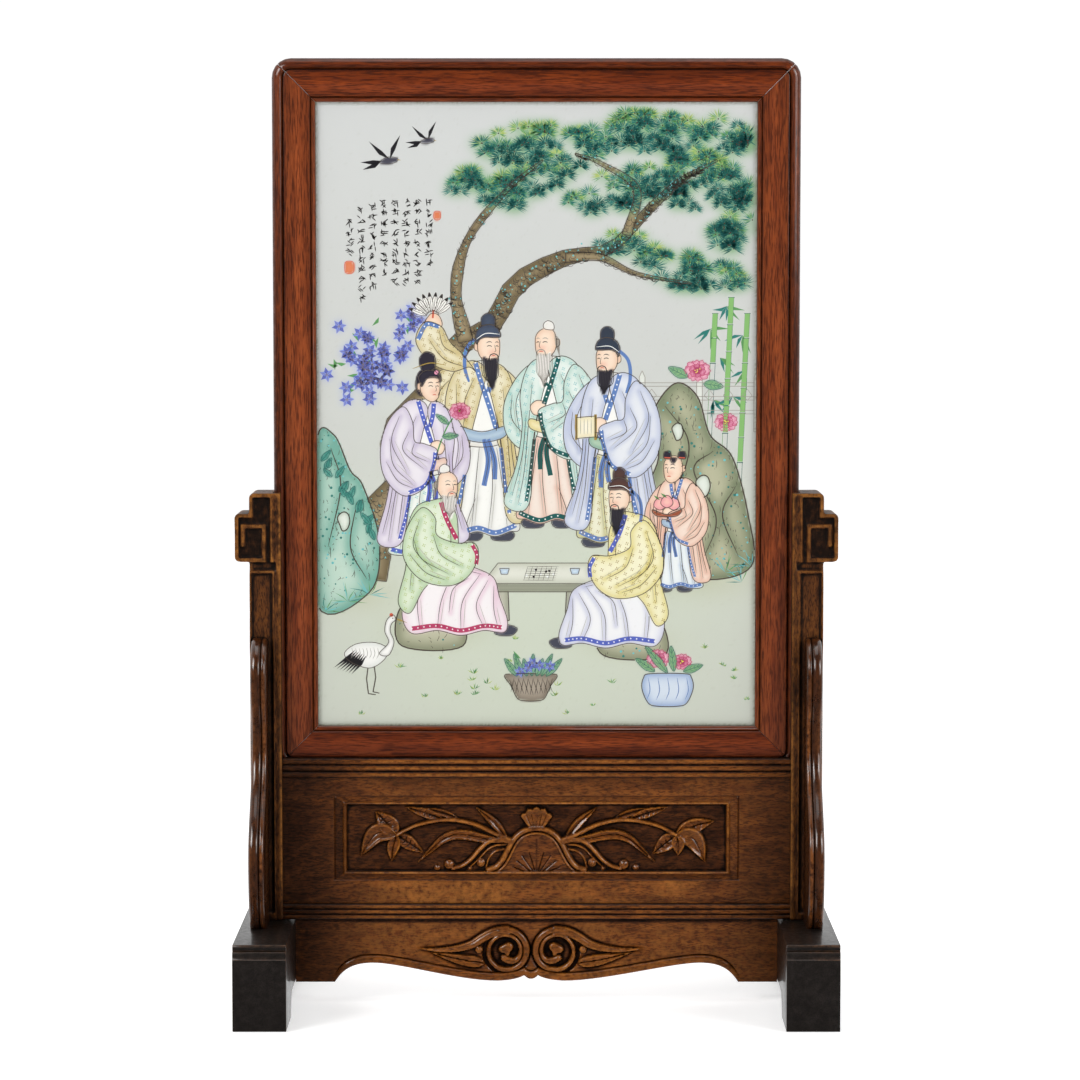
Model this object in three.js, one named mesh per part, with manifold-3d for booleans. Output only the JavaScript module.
// Table screen: a painted porcelain plaque in a mitred rosewood frame, standing in a carved hardwood stand.
// Millimetres, +Z up, the front faces -Y, and the origin is at the middle of the feet on the table.
import * as THREE from "three";
import { mergeVertices } from "three/addons/utils/BufferGeometryUtils.js";
import Module from "manifold-3d";

const wasm = await Module();
wasm.setup();

// Feet: two long blocks that run from front to back.
const footLength = 200;
const footWidth = 32.6;
const footHeight = 52.7;
const footOverhang = 7.6; // how far each foot reaches inwards past its post
const footPadLength = 42;
const footArchHeight = 14.5; // the arch is as high as its two rounded ends are wide
const footMinimum = 4; // wood between the arch and the apron's slot
const footTopBead = 3.5;
const footSecondBead = 5.5;
const footBeadSetback = 1.6; // how far the top bead lies behind the end face

// Posts, grooved on their inner sides for the frame, with square scroll finials.
const postSeat = 4.8; // how deep the frame stands in each post's groove
const postWidth = 19.7;
const postDepth = 36;
const postTenon = { width: 9, depth: 20, length: 24 };
const postStripWidth = 3; // the bead that runs beside the frame
const postStripGroove = 1.3;
const postSideBorder = 1.12; // raised edge beside the sunk panels
const postTopBorder = 1.6;
const postBaseBorder = 4.8;
const postSink = 1.6;
const finialTop = 320.6;
const finialHeight = 42.7;
const finialRadius = 3.4;
const keyHeight = 30; // the square scroll that steps out from the finial
const keyReach = 9; // beyond the post's outer face
const keyLine = 2.4; // width of its raised line
// Where its turns lie: left is from the sunk panel, right from the post's outer face, and the rest from its base.
const keyWinding = { left: 5.04, right: 2.52, top: 21, tail: 9.6 };
const finialBorder = 2.16; // the line beside the sunk panel's inner edge
const neckHeight = 5.4;

// Spandrels: S-shaped boards that brace each post on its foot, in front and behind.
const spandrelThickness = 10;
const spandrelHeight = 178;
const spandrelInset = 1.4; // from the post's outer face
const spandrelUpperReach = 19;
const spandrelWaistReach = 10;
const spandrelLowerReach = 43;
const spandrelTipReach = 29;
const spandrelTipRound = 6;
const spandrelTopRound = 7;
const spandrelRound = 2.2;

// Rails and carved panel between the posts.
const lowerRailHeight = 9.8;
const panelHeight = 79.4;
const upperRailHeight = 12.6;
const railDepth = 33;
const railTenon = { length: 8, depth: 14, shoulder: 2 };
const reedDepth = 1.6;
const railReeds = 3;
const panelThickness = 12;
const panelSetback = 3.5; // behind the rails' front
const panelTongue = { length: 4, thickness: 6 };
const fieldMargin = 39.5; // between each post and the carved field
const fieldHeight = 43;
const fieldRise = 19.6; // from the panel's lower edge to the carved field
const fieldDepth = 3.4;
const fieldBorder = 7.2; // width of the sloping border at the sides
const fieldBorderUpright = 4.9; // above and below
const fieldBead = 1.5;
const borderSlope = 1.3; // how deep the border dips before its bead
const archHalfWidth = 26.8; // the arched stem in the middle of the field
const archHeight = 29.7;
const archWidth = 5;
const archFoot = 0.9; // how far its ends stand above the field's lower edge
const fanBase = 26.7; // the scalloped fan above it
const fanReach = 14.6;
const fanNotchReach = 12.4;
const fanNarrowing = 0.86;
const moundHalfWidth = 20; // the rayed mound below it
const moundHeight = 24;

// Apron between the feet, with a wavy lower edge and two facing scrolls.
const apronThickness = 12;
const apronSetback = 2.5; // behind the rails' front
const apronDrop = 40.2; // from the lower rail to the apron's lowest corners
const apronTongue = { length: 4, thickness: 6 };
const apronEndLength = 24.5;
const apronArchRise = 12.2;
const apronLobe = 21; // from the middle to each lobe's lowest point
const apronLobeRise = 0.8;
const apronNotch = 4.3; // from the middle to the notch beside the bud
const apronNotchRise = 4.3;
const apronBudRise = 2; // the bud's lower end, in the middle
const apronCornerRun = 24.2; // from each straight end to the top of the arch beside it
const apronCornerBulge = { out: 5, rise: 8, top: 11 };
const apronArchPull = { crest: 17, lobe: 25 }; // how far each bend reaches along the edge
const apronLobePull = { lobe: 6, rise: 1, notch: 3.5 };
const apronBudPull = { out: 1.6, rise: 2.4, end: 3 };
const apronCurveSteps = 6;
const apronBeadWidth = 3;
const apronBeadHeight = 1.3;
const scrollRadius = 13.4;
const scrollRise = 19.6; // from the apron's lowest corners to the scrolls' eyes
const scrollSpacing = 15.6; // from the middle to each eye
const scrollTurns = 1.58;
const scrollLine = { width: 2.9, height: 2 };
const scrollBoss = { radius: 4.2, height: 1.7 };
const scrollShift = -3.4; // the carver set the ornament a little left of the middle

// Frame and plaque.
const sightWidth = 273; // the plaque that shows
const sightHeight = 387.8;
const memberWidth = 27;
const frameThickness = 22;
const frameCornerRadius = 12;
const outerBead = 7.2;
const sightBead = 3;
const backRound = 1.5; // the frame's outer back edge
const sightBackRound = 0.8;
const plaqueThickness = 7;
const plaqueSetback = 4.6; // behind the frame's front
const plaqueGroove = 5;
const railRebate = 7.5; // how deep the frame stands in the groove of the upper rail
const fitGap = 0.3; // clearance in grooves, mortises and mitres

// Places that follow from the sizes above.
const lowerRailBase = footHeight + fitGap;
const panelBase = lowerRailBase + lowerRailHeight;
const upperRailBase = panelBase + panelHeight;
const frameBase = upperRailBase + upperRailHeight - railRebate;
const frameWidth = sightWidth + 2 * memberWidth;
const frameHeight = sightHeight + 2 * memberWidth;
const postInner = frameWidth / 2 - postSeat;
const postOuter = postInner + postWidth;
const footInner = postInner - footOverhang;
const fieldHalfWidth = postInner - fieldMargin;
const railFront = -railDepth / 2;
const panelFront = railFront + panelSetback;
const apronFront = railFront + apronSetback;
const apronBase = lowerRailBase - apronDrop;
const apronTongueBase = footArchHeight + footMinimum;
const finialBase = finialTop - finialHeight;
const fieldBase = panelBase + fieldRise;
const cut = 1; // how far a cutting solid runs past the face that it cuts

const rosewood = new THREE.MeshStandardMaterial({ color: 0x6b2a12, roughness: 0.38, metalness: 0 });
const hardwood = new THREE.MeshStandardMaterial({ color: 0x4e2c14, roughness: 0.42, metalness: 0 });
const darkwood = new THREE.MeshStandardMaterial({ color: 0x33261e, roughness: 0.5, metalness: 0 });
const porcelain = new THREE.MeshStandardMaterial({ color: 0xd9ded6, roughness: 0.12, metalness: 0 });

const axisX = new THREE.Vector3(1, 0, 0);
const axisY = new THREE.Vector3(0, 1, 0);
const axisZ = new THREE.Vector3(0, 0, 1);

// A closed geometry as a solid, with its faces turned outwards if they point in.
function solidOf(geometry) {
  const bare = geometry.index ? geometry.toNonIndexed() : geometry.clone();
  bare.deleteAttribute("normal");
  bare.deleteAttribute("uv");
  const merged = mergeVertices(bare, 1e-4);
  const place = merged.attributes.position;
  const index = merged.index.array;
  const triangles = [];
  let volume = 0;
  const corners = [new THREE.Vector3(), new THREE.Vector3(), new THREE.Vector3()];
  for (let i = 0; i < index.length; i += 3) {
    const [a, b, c] = index.slice(i, i + 3);
    if (a === b || b === c || c === a) continue;
    [a, b, c].forEach((n, k) => corners[k].fromBufferAttribute(place, n));
    volume += corners[0].dot(corners[1].clone().cross(corners[2]));
    triangles.push(a, b, c);
  }
  if (volume < 0) triangles.reverse();
  return new wasm.Manifold(
    new wasm.Mesh({
      numProp: 3,
      vertProperties: place.array,
      triVerts: new Uint32Array(triangles),
    }),
  );
}

function geometryOf(solid) {
  const mesh = solid.getMesh();
  const geometry = new THREE.BufferGeometry();
  geometry.setAttribute("position", new THREE.BufferAttribute(mesh.vertProperties, 3));
  geometry.setIndex(new THREE.BufferAttribute(mesh.triVerts, 1));
  const faceted = geometry.toNonIndexed();
  faceted.computeVertexNormals();
  return faceted;
}

function block([x0, x1], [y0, y1], [z0, z1]) {
  const box = new THREE.BoxGeometry(x1 - x0, y1 - y0, z1 - z0);
  return solidOf(box.translate((x0 + x1) / 2, (y0 + y1) / 2, (z0 + z1) / 2));
}

// An outline in Y and Z, swept along X.
function alongX(outline, x0, x1, options = {}) {
  const bevel = options.bevelEnabled ? options.bevelThickness : 0;
  const depth = x1 - x0 - 2 * bevel;
  const geometry = new THREE.ExtrudeGeometry(outline, { bevelEnabled: false, depth, ...options });
  geometry.applyMatrix4(new THREE.Matrix4().makeBasis(axisY, axisZ, axisX));
  return solidOf(geometry.translate(x0 + bevel, 0, 0));
}

// An outline in X and Z, swept along Y from its back to its front.
function alongY(outline, front, back, curveSegments = 6) {
  const geometry = new THREE.ExtrudeGeometry(outline, {
    bevelEnabled: false,
    depth: back - front,
    curveSegments,
  });
  geometry.applyMatrix4(new THREE.Matrix4().makeBasis(axisX, axisZ, axisY.clone().negate()));
  return solidOf(geometry.translate(0, back, 0));
}

function join(solids) {
  return solids.reduce((whole, piece) => whole.add(piece));
}

function polygon(points) {
  return new THREE.Shape(points.map(([a, b]) => new THREE.Vector2(a, b)));
}

// A carved rib that lies on a ground plane and follows a curve in X and Z.
function rib(points, width, height, { ground, steps = 8, sides = 6, taper = () => 1, sink = 0.8 }) {
  const line = new THREE.SplineCurve(points.map(([x, z]) => new THREE.Vector2(x, z)));
  const tube = new THREE.CylinderGeometry(1, 1, 1, sides, steps);
  const place = tube.attributes.position;
  for (let i = 0; i < place.count; i++) {
    const along = Math.min(Math.max(place.getY(i) + 0.5, 0), 1);
    const at = line.getPoint(along);
    const way = line.getTangent(Math.min(Math.max(along, 0.001), 0.999));
    const share = Math.max(taper(along), 0.08);
    const side = (place.getX(i) * width * share) / 2;
    const up = place.getZ(i);
    const rise = up > 0 ? up * height * Math.sqrt(share) : up * sink;
    place.setXYZ(i, at.x - way.y * side, ground - rise, at.y + way.x * side);
  }
  return solidOf(tube);
}

const leafTaper = (along) => Math.sin(Math.PI * along ** 0.8);
const petalTaper = (along) => Math.sin(Math.PI * Math.min(along * 0.92 + 0.06, 1)) ** 0.7;
const stemTaper = (along) => 1 - 0.35 * along;
const windingTaper = (along) => 1 - 0.3 * along;

function knob(x, z, radius, height, ground) {
  const ball = new THREE.SphereGeometry(1, 8, 6);
  return solidOf(ball.scale(radius, height, radius).translate(x, ground, z));
}

const screen = new THREE.Group();

function place(name, solid, material) {
  const mesh = new THREE.Mesh(geometryOf(solid), material);
  mesh.name = name;
  screen.add(mesh);
}

// One foot, on the +X side: arched below, with two small beads across each end of its top. The beads' points
// lie a few tenths of a millimetre behind the end face, as their rounding needs.
function foot() {
  const end = footLength / 2;
  const step = footHeight - footTopBead;
  const second = step - footSecondBead;
  const padEnd = end - footPadLength;
  const half = [
    [padEnd, 0],
    [end, 0],
    [end, second],
    [end - 0.7, second + 0.5],
    [end - 0.4, second + footSecondBead / 2],
    [end - 1, step - 0.9],
    [end - 2.6, step - 0.4],
    [end - footBeadSetback - 0.5, step],
    [end - footBeadSetback, step + footTopBead / 2],
    [end - footBeadSetback - 0.9, footHeight],
  ];
  const cove = [];
  const coveSteps = 5;
  for (let i = 1; i <= coveSteps; i++) {
    const turn = (Math.PI / 2) * (i / coveSteps);
    cove.push([padEnd - footArchHeight * (1 - Math.cos(turn)), footArchHeight * Math.sin(turn)]);
  }
  const mirrored = (points) => points.map(([y, z]) => [-y, z]).reverse();
  const outline = polygon([...half, ...mirrored(half), ...cove.map(([y, z]) => [-y, z]), ...cove.reverse()]);
  const body = alongX(outline, footInner, footInner + footWidth);
  const postMiddle = postInner + postWidth / 2;
  const mortise = block(
    [postMiddle - postTenon.width / 2 - fitGap, postMiddle + postTenon.width / 2 + fitGap],
    [-postTenon.depth / 2 - fitGap, postTenon.depth / 2 + fitGap],
    [footHeight - postTenon.length - fitGap, footHeight + cut],
  );
  const apronMiddle = apronFront + apronThickness / 2;
  const slot = block(
    [footInner - cut, footInner + apronTongue.length + fitGap],
    [apronMiddle - apronTongue.thickness / 2 - fitGap, apronMiddle + apronTongue.thickness / 2 + fitGap],
    [apronTongueBase - fitGap, footHeight + cut],
  );
  return body.subtract(mortise).subtract(slot);
}

// The finial's outline, stepped out to one side, drawn smaller by an inset.
function finialOutline(inset, low) {
  const r = Math.max(finialRadius - inset, 0.6);
  const left = postInner + inset;
  const step = postOuter - inset;
  const right = postOuter + keyReach - inset;
  const top = finialTop - inset;
  const ledge = finialBase + keyHeight - inset;
  const shape = new THREE.Shape();
  shape.moveTo(left, low);
  shape.lineTo(right - r, low);
  shape.quadraticCurveTo(right, low, right, low + r);
  shape.lineTo(right, ledge - r);
  shape.quadraticCurveTo(right, ledge, right - r, ledge);
  shape.lineTo(step, ledge);
  shape.lineTo(step, top - r);
  shape.quadraticCurveTo(step, top, step - r, top);
  shape.lineTo(left, top);
  return shape;
}

// The sunk ground on the face of a finial, with the raised line that winds in as a square scroll.
function carveFinial(solid, face, outward) {
  const floor = face - outward * postSink;
  const outside = face + outward * cut;
  const [near, far] = [Math.min(outside, floor), Math.max(outside, floor)];
  const root = floor - outward * fitGap;
  const [low, high] = [Math.min(face, root), Math.max(face, root)];
  const panelLeft = postInner + postStripWidth + postStripGroove;
  const ground = alongY(finialOutline(keyLine, finialBase + keyLine), near, far);
  const strip = block([postInner - cut, panelLeft], [near - cut, far + cut], [0, finialTop + cut]);
  const neck = block([panelLeft, postOuter + cut], [near, far], [finialBase - neckHeight, finialBase]);
  const lineBox = (xs, zs) => block(xs, [low, high], zs);
  const left = panelLeft + keyWinding.left;
  const right = postOuter + keyWinding.right;
  const top = finialBase + keyWinding.top;
  const tail = finialBase + keyWinding.tail;
  const border = lineBox([panelLeft, panelLeft + finialBorder], [finialBase, finialTop - keyLine]);
  const gateTop = finialBase + 2 * keyLine;
  const gate = block([panelLeft + finialBorder, left], [near, far], [finialBase - cut, gateTop]);
  const winding = join([
    lineBox([left, left + keyLine], [finialBase, top + keyLine]),
    lineBox([left, right + keyLine], [top, top + keyLine]),
    lineBox([right, right + keyLine], [tail, top + keyLine]),
  ]);
  const sunk = solid.subtract(ground.subtract(strip)).subtract(neck).subtract(gate);
  return sunk.add(winding).add(border);
}

// One post, on the +X side.
function post() {
  const front = -postDepth / 2;
  const shaft = block([postInner, postOuter], [front, -front], [footHeight, finialBase + cut]);
  const finial = alongY(finialOutline(0, finialBase), front, -front);
  const middle = postInner + postWidth / 2;
  const tenon = block(
    [middle - postTenon.width / 2, middle + postTenon.width / 2],
    [-postTenon.depth / 2, postTenon.depth / 2],
    [footHeight - postTenon.length, footHeight + cut],
  );
  let solid = shaft.add(finial).add(tenon);
  const grooveDepth = frameWidth / 2 + fitGap;
  const frameGroove = block(
    [postInner - cut, grooveDepth],
    [-frameThickness / 2 - fitGap, frameThickness / 2 + fitGap],
    [frameBase, finialTop + cut],
  );
  const railMortise = (base, height) =>
    block(
      [postInner - cut, postInner + railTenon.length + fitGap],
      [-railTenon.depth / 2 - fitGap, railTenon.depth / 2 + fitGap],
      [base + railTenon.shoulder - fitGap, tenonTop(base, height) + fitGap],
    );
  const tongueMiddle = panelFront + panelThickness / 2;
  const panelSlot = block(
    [postInner - cut, postInner + panelTongue.length + fitGap],
    [tongueMiddle - panelTongue.thickness / 2 - fitGap, tongueMiddle + panelTongue.thickness / 2 + fitGap],
    [panelBase - fitGap, upperRailBase + fitGap],
  );
  solid = solid.subtract(frameGroove).subtract(panelSlot);
  solid = solid.subtract(railMortise(lowerRailBase, lowerRailHeight));
  solid = solid.subtract(railMortise(upperRailBase, upperRailHeight));
  const panelLeft = postInner + postStripWidth + postStripGroove + postSideBorder;
  for (const outward of [-1, 1]) {
    const face = (outward * postDepth) / 2;
    const ys = [Math.min(face + outward * cut, face - outward * postSink)];
    ys.push(Math.max(face + outward * cut, face - outward * postSink));
    const grooveLeft = postInner + postStripWidth;
    const groove = block([grooveLeft, grooveLeft + postStripGroove], ys, [footHeight, finialTop + cut]);
    const sunk = block([panelLeft, postOuter - postSideBorder], ys, [
      footHeight + postBaseBorder,
      finialBase - neckHeight - postTopBorder,
    ]);
    solid = carveFinial(solid.subtract(groove).subtract(sunk), face, outward);
  }
  return solid;
}

// One spandrel, in front of the +X post (way -1) or behind it (way 1). Its bends lie at shares of its height.
function spandrel(way) {
  const root = postDepth / 2;
  const base = footHeight;
  const at = (share) => base + spandrelHeight * share;
  const outline = new THREE.Shape();
  const y = (reach) => way * (root + reach);
  const [upper, waist, lower] = [y(spandrelUpperReach), y(spandrelWaistReach), y(spandrelLowerReach)];
  outline.moveTo(y(0), base);
  outline.lineTo(y(spandrelTipReach), base);
  outline.bezierCurveTo(y(spandrelTipReach + spandrelTipRound), at(0.02), lower, at(0.1), lower, at(0.24));
  outline.bezierCurveTo(lower, at(0.4), waist, at(0.46), waist, at(0.64));
  outline.bezierCurveTo(waist, at(0.74), upper, at(0.74), upper, at(0.86));
  outline.bezierCurveTo(upper, at(0.95), y(spandrelTopRound), at(1), y(0), at(1));
  const right = postOuter - spandrelInset;
  return alongX(outline, right - spandrelThickness, right, {
    curveSegments: 7,
    bevelEnabled: true,
    bevelThickness: spandrelRound,
    bevelSize: spandrelRound,
    bevelOffset: -spandrelRound,
    bevelSegments: 2,
  });
}

// How high a rail's tenon stands above the rail's lower face.
function tenonTop(base, height) {
  return Math.min(base + height - railTenon.shoulder, frameBase - fitGap);
}

// A rail across the screen, with reeds along its front and back.
function rail(base, height) {
  const reed = height / railReeds;
  const front = [];
  for (let i = 0; i < railReeds; i++) {
    const low = base + i * reed;
    front.push([railFront + reedDepth, low]);
    front.push([railFront + reedDepth * 0.35, low + reed * 0.18]);
    front.push([railFront, low + reed * 0.5]);
    front.push([railFront + reedDepth * 0.35, low + reed * 0.82]);
  }
  front.push([railFront + reedDepth, base + height]);
  const back = front.map(([y, z]) => [-y, z]).reverse();
  const body = alongX(polygon([...front, ...back]), -postInner, postInner);
  const tenon = block(
    [-postInner - railTenon.length, postInner + railTenon.length],
    [-railTenon.depth / 2, railTenon.depth / 2],
    [base + railTenon.shoulder, tenonTop(base, height)],
  );
  return body.add(tenon);
}

// The groove in the upper rail in which the frame stands.
function frameRebate() {
  const half = frameThickness / 2 + fitGap;
  return block([-postOuter, postOuter], [-half, half], [frameBase, frameBase + memberWidth]);
}

// The two flowers are carved alike but not the same: each petal's tip, width and height share.
const flowerHeart = [0.7525, 0.537];
const leftPetals = [
  [[0.845, 0.56], [0.928, 0.255], 8.8, 1],
  [[0.79, 0.74], [0.845, 0.9], 9.6, 0.7],
  [[0.765, 0.34], [0.755, 0.13], 6, 0.85],
  [[0.68, 0.4], [0.612, 0.27], 6.2, 0.6],
];
const rightPetals = [
  [[0.85, 0.7], [0.94, 0.765], 7.6, 0.75],
  [[0.835, 0.48], [0.892, 0.13], 9, 1],
  [[0.68, 0.4], [0.612, 0.285], 7, 0.65],
  [[0.757, 0.42], [0.757, 0.3], 6.6, 0.9],
];

// Half of the flowering vine in the carved field, on one side of its middle.
function vineHalf(side, petals, ground) {
  const rise = fieldDepth * 0.92;
  const spot = (across, up) => [side * across * fieldHalfWidth, fieldBase + up * fieldHeight];
  const line = (points) => points.map(([across, up]) => spot(across, up));
  const leaf = (points, width, height, steps = 6) =>
    rib(line(points), width, height * rise, { ground, steps, taper: leafTaper });
  const stem = (points, width, height, steps) =>
    rib(line(points), width, height * rise, { ground, steps, taper: stemTaper });
  const blossom = petals.map(([bend, tip, width, height]) =>
    rib(line([flowerHeart, bend, tip]), width, height * rise, { ground, steps: 5, taper: petalTaper }),
  );
  return [
    stem([[0.145, 0.42], [0.2, 0.5], [0.263, 0.495], [0.336, 0.302], [0.42, 0.03]], 3.8, 0.85, 8),
    stem([[0.125, 0.46], [0.237, 0.7], [0.368, 0.8], [0.484, 0.82], [0.604, 0.758], flowerHeart], 3, 1, 11),
    leaf([[0.17, 0.5], [0.3, 0.6], [0.421, 0.553], [0.53, 0.37], [0.626, 0.186]], 5.4, 0.75, 8),
    leaf([[0.12, 0.47], [0.23, 0.76], [0.305, 0.972]], 4.2, 0.8),
    leaf([[0.5, 0.82], [0.6, 0.86], [0.7, 0.967]], 3.6, 0.6),
    leaf([[0.44, 0.83], [0.5, 0.92], [0.59, 0.97]], 3, 0.5),
    ...blossom,
    knob(...spot(0.3, 0.153), 3, 0.8 * rise, ground),
    knob(...spot(0.468, 0.142), 3.1, 0.9 * rise, ground),
    knob(...spot(0.545, 0.06), 1.9, 0.6 * rise, ground),
  ];
}

// The arched stem in the middle of the field, with a scalloped fan over it and a rayed mound below.
function vineMiddle(ground) {
  const rise = fieldDepth * 0.95;
  const arch = [];
  const archSteps = 8;
  for (let i = 0; i <= archSteps; i++) {
    const across = -1 + (2 * i) / archSteps;
    const up = archHeight * Math.cos((across * Math.PI) / 2) ** 1.1 + archFoot;
    arch.push([across * archHalfWidth, fieldBase + up]);
  }
  const fan = [[0, fieldBase + fanBase]];
  const lobes = 5;
  for (let i = 0; i <= 2 * lobes; i++) {
    const turn = Math.PI * (0.08 + (0.84 * i) / (2 * lobes));
    const reach = i % 2 ? fanReach : fanNotchReach;
    fan.push([reach * Math.cos(turn) * fanNarrowing, fieldBase + fanBase + reach * Math.sin(turn)]);
  }
  const moundHalf = [[1, 0], [0.65, 0.58], [0.25, 1]];
  const moundSide = (way) =>
    moundHalf.map(([across, up]) => [way * across * moundHalfWidth, fieldBase + up * moundHeight]);
  const mound = [...moundSide(1), ...moundSide(-1).reverse()];
  return [
    alongY(polygon(fan), ground - rise * 0.6, ground + cut),
    alongY(polygon(mound), ground - rise * 0.35, ground + cut),
    rib(arch, archWidth, rise, { ground, steps: 16 }),
  ];
}

function carvedPanel() {
  const back = panelFront + panelThickness;
  const body = block([-postInner, postInner], [panelFront, back], [panelBase, upperRailBase]);
  const middle = panelFront + panelThickness / 2;
  const tongue = block(
    [-postInner - panelTongue.length, postInner + panelTongue.length],
    [middle - panelTongue.thickness / 2, middle + panelTongue.thickness / 2],
    [panelBase, upperRailBase],
  );
  const ground = panelFront + fieldDepth;
  const fieldTop = fieldBase + fieldHeight;
  const border = block(
    [-fieldHalfWidth - fieldBorder, fieldHalfWidth + fieldBorder],
    [panelFront - cut, panelFront + borderSlope],
    [fieldBase - fieldBorderUpright, fieldTop + fieldBorderUpright],
  );
  const bead = block(
    [-fieldHalfWidth - fieldBead, fieldHalfWidth + fieldBead],
    [panelFront, ground],
    [fieldBase - fieldBead, fieldTop + fieldBead],
  );
  const field = block([-fieldHalfWidth, fieldHalfWidth], [panelFront - cut, ground], [fieldBase, fieldTop]);
  const carving = join([
    ...vineMiddle(ground),
    ...vineHalf(-1, leftPetals, ground),
    ...vineHalf(1, rightPetals, ground),
  ]);
  const board = body.add(tongue).subtract(border).add(bead).subtract(field);
  const room = block([-fieldHalfWidth, fieldHalfWidth], [panelFront, ground + 2], [fieldBase, fieldTop]);
  return board.add(carving.intersect(room));
}

// One half of the apron's lower edge, from its foot to the bud in the middle, as points in X and Z.
function apronHalfEdge(side) {
  const end = footInner;
  const step = end - apronEndLength;
  const crest = step - apronCornerRun;
  const z = (rise) => apronBase + rise;
  const lobe = apronLobe + side * scrollShift;
  const notch = apronNotch + side * scrollShift;
  const shape = new THREE.Path();
  shape.moveTo(end, z(0));
  shape.lineTo(step, z(0));
  const [corner, arch, dip, bud] = [apronCornerBulge, apronArchPull, apronLobePull, apronBudPull];
  const [top, low, mid] = [z(apronArchRise), z(apronLobeRise), z(apronBudRise)];
  shape.bezierCurveTo(step - corner.out, z(corner.rise), step - corner.top, top, crest, top);
  shape.bezierCurveTo(crest - arch.crest, top, lobe + arch.lobe, low, lobe, low);
  shape.bezierCurveTo(lobe - dip.lobe, z(dip.rise), notch + dip.notch, mid, notch, z(apronNotchRise));
  shape.bezierCurveTo(notch - bud.out, z(bud.rise), notch - bud.end, mid, side * scrollShift, mid);
  return shape.getPoints(apronCurveSteps).map((point) => [side * point.x, point.y]);
}

function apronEdge() {
  const right = apronHalfEdge(1);
  const left = apronHalfEdge(-1);
  return [...right, ...left.slice(0, -1).reverse()];
}

// One scroll of the apron: a leaf's edge that sweeps over the top and winds in round a small boss.
function scroll(side, ground) {
  const eye = [scrollShift + side * scrollSpacing, apronBase + scrollRise];
  const winding = [];
  const windSteps = 24;
  for (let i = 0; i <= windSteps; i++) {
    const share = i / windSteps;
    const turn = Math.PI * (0.4 + 2 * scrollTurns * share);
    const reach = (scrollRadius - 1) * (1 - 0.26 * share ** 1.4);
    winding.push([eye[0] + side * reach * Math.cos(turn), eye[1] + reach * Math.sin(turn)]);
  }
  // The leaves' curves, in millimetres outwards and upwards from the scroll's eye.
  const beside = (across, up) => [eye[0] + side * across, eye[1] + up];
  const tail = [beside(0, scrollRadius - 1.4), beside(16, 9.4), beside(34, 3.6), beside(60, 1.4)];
  const fork = [beside(12, 5.4), beside(22, 0.6), beside(42, -0.6)];
  const under = [beside(15, -5.6), beside(30, -7), beside(52, -3.4)];
  const comma = [beside(3.6, -8.2), beside(-0.5, -6.6), beside(-2.6, -8.8)];
  return [
    rib(winding, scrollLine.width, scrollLine.height, { ground, steps: 30, taper: windingTaper }),
    rib(tail, 6.4, 1.8, { ground, steps: 9, taper: (along) => 1 - along ** 1.4 }),
    rib(fork, 3, 1.4, { ground, steps: 5, taper: leafTaper }),
    rib(under, 4.4, 1.2, { ground, steps: 6, taper: leafTaper }),
    rib(comma, 3, 1.4, { ground, steps: 4, taper: leafTaper }),
    knob(...eye, scrollBoss.radius, scrollBoss.height, ground),
  ];
}

function apron() {
  const top = lowerRailBase;
  const edge = apronEdge();
  const outline = polygon([...edge, [-footInner, top], [footInner, top]]);
  const back = apronFront + apronThickness;
  const ground = apronFront + apronBeadHeight;
  const board = alongY(outline, ground, back);
  const raised = polygon([...edge, ...edge.map(([x, z]) => [x, z + apronBeadWidth]).reverse()]);
  const bead = alongY(raised, apronFront, ground + 1);
  const middle = apronFront + apronThickness / 2;
  const tongue = block(
    [-footInner - apronTongue.length, footInner + apronTongue.length],
    [middle - apronTongue.thickness / 2, middle + apronTongue.thickness / 2],
    [apronTongueBase, footHeight],
  );
  const between = block([-footInner + cut, footInner - cut], [-postDepth, postDepth], [0, top]);
  const tongueEnds = tongue.subtract(between);
  const carving = join([...scroll(-1, ground), ...scroll(1, ground)]);
  return board.add(bead).add(carving).add(tongueEnds);
}

// The frame's section: distance in from its outer edge, and distance behind its front. A bead runs along
// the outer edge, then come a flat band, a fine bead, and the plaque's groove in the inner edge.
function frameSection() {
  const sight = memberWidth;
  const grooveFront = plaqueSetback - fitGap;
  const grooveBack = plaqueSetback + plaqueThickness + fitGap;
  return [
    [0, frameThickness - backRound],
    [0, 5.2],
    [0.9, 2.9],
    [2.6, 1.5],
    [4.6, 1.1],
    [outerBead - 0.9, 1.8],
    [outerBead - 0.2, 2.6],
    [outerBead + 0.2, 0.2],
    [outerBead + 1, 0],
    [outerBead + 9, 0.55],
    [sight - sightBead - 0.8, 0.7],
    [sight - sightBead, 1.9],
    [sight - sightBead + 0.8, 1],
    [sight - 0.7, 1.1],
    [sight, 1.9],
    [sight, grooveFront],
    [sight - plaqueGroove, grooveFront],
    [sight - plaqueGroove, grooveBack],
    [sight, grooveBack],
    [sight, frameThickness - sightBackRound],
    [sight - sightBackRound, frameThickness],
    [backRound, frameThickness],
  ];
}

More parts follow.
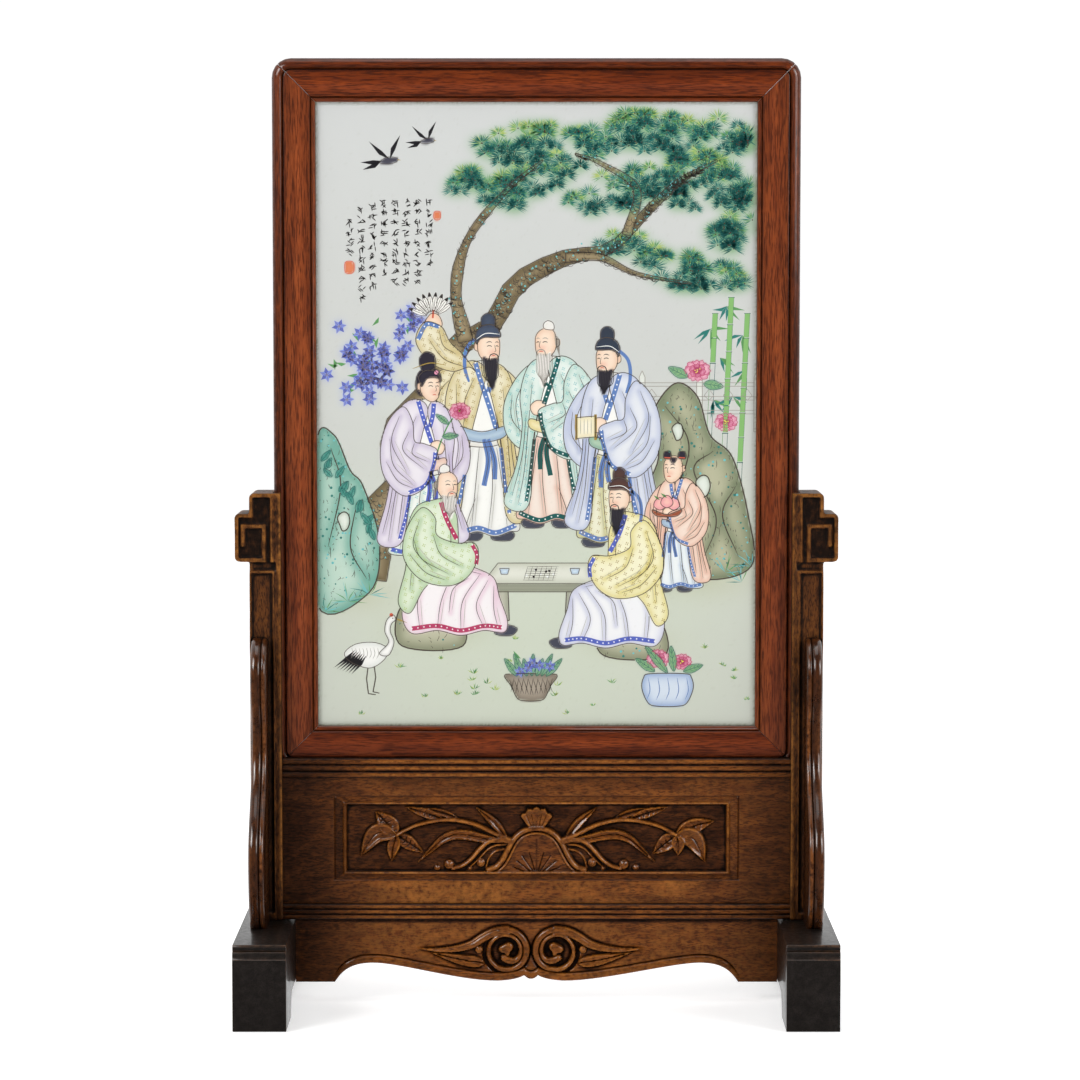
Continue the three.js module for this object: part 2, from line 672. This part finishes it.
// The whole frame as one closed ring round the plaque, with rounded outer corners.
function frameRing() {
  const section = frameSection();
  const cornerSteps = 5;
  const around = 4 * (cornerSteps + 1);
  const ring = new THREE.TorusGeometry(1, 0.5, section.length, around);
  const spot = ring.attributes.position;
  const middle = frameBase + frameHeight / 2;
  for (let j = 0; j <= section.length; j++) {
    const [inset, behind] = section[j % section.length];
    const radius = Math.max(frameCornerRadius - inset, 0.4);
    for (let i = 0; i <= around; i++) {
      const step = i % around;
      const corner = Math.floor(step / (cornerSteps + 1));
      const turn = (Math.PI / 2) * (corner + (step % (cornerSteps + 1)) / cornerSteps);
      const toX = [1, -1, -1, 1][corner] * (frameWidth / 2 - inset - radius);
      const toZ = [1, 1, -1, -1][corner] * (frameHeight / 2 - inset - radius);
      const x = toX + radius * Math.cos(turn);
      const z = middle + toZ + radius * Math.sin(turn);
      spot.setXYZ(j * (around + 1) + i, x, -frameThickness / 2 + behind, z);
    }
  }
  return solidOf(ring);
}

// The wedge between the mitres that holds one member of the frame.
function mitreWedge(horizontal, way) {
  const spare = 5;
  const inner = memberWidth + spare;
  const slack = fitGap / Math.SQRT2;
  const long = (horizontal ? frameWidth : frameHeight) / 2 - slack;
  const outer = (horizontal ? frameHeight : frameWidth) / 2;
  const corners = [
    [-long - spare, outer + spare],
    [long + spare, outer + spare],
    [long - inner, outer - inner],
    [-long + inner, outer - inner],
  ];
  const middle = frameBase + frameHeight / 2;
  const points = corners.map(([a, b]) => (horizontal ? [a, middle + way * b] : [way * b, middle + a]));
  return alongY(polygon(points), -frameThickness, frameThickness);
}

const ring = frameRing();
place("frame_top_rail", ring.intersect(mitreWedge(true, 1)), rosewood);
place("frame_bottom_rail", ring.intersect(mitreWedge(true, -1)), rosewood);
place("frame_left_stile", ring.intersect(mitreWedge(false, -1)), rosewood);
place("frame_right_stile", ring.intersect(mitreWedge(false, 1)), rosewood);

const plaqueReach = plaqueGroove - fitGap;
const plaqueFront = -frameThickness / 2 + plaqueSetback;
const plaqueBase = frameBase + memberWidth - plaqueReach;
place(
  "plaque",
  block(
    [-sightWidth / 2 - plaqueReach, sightWidth / 2 + plaqueReach],
    [plaqueFront, plaqueFront + plaqueThickness],
    [plaqueBase, plaqueBase + sightHeight + 2 * plaqueReach],
  ),
  porcelain,
);

const mirrored = (solid) => solid.mirror([1, 0, 0]);
const unchanged = (solid) => solid;
for (const [side, turned] of [["left", mirrored], ["right", unchanged]]) {
  place(`${side}_foot`, turned(foot()), darkwood);
  place(`${side}_post`, turned(post()), hardwood);
  place(`${side}_front_spandrel`, turned(spandrel(-1)), hardwood);
  place(`${side}_rear_spandrel`, turned(spandrel(1)), hardwood);
}
place("lower_rail", rail(lowerRailBase, lowerRailHeight), hardwood);
place("upper_rail", rail(upperRailBase, upperRailHeight).subtract(frameRebate()), hardwood);
place("carved_panel", carvedPanel(), hardwood);
place("apron", apron(), hardwood);

export default screen;
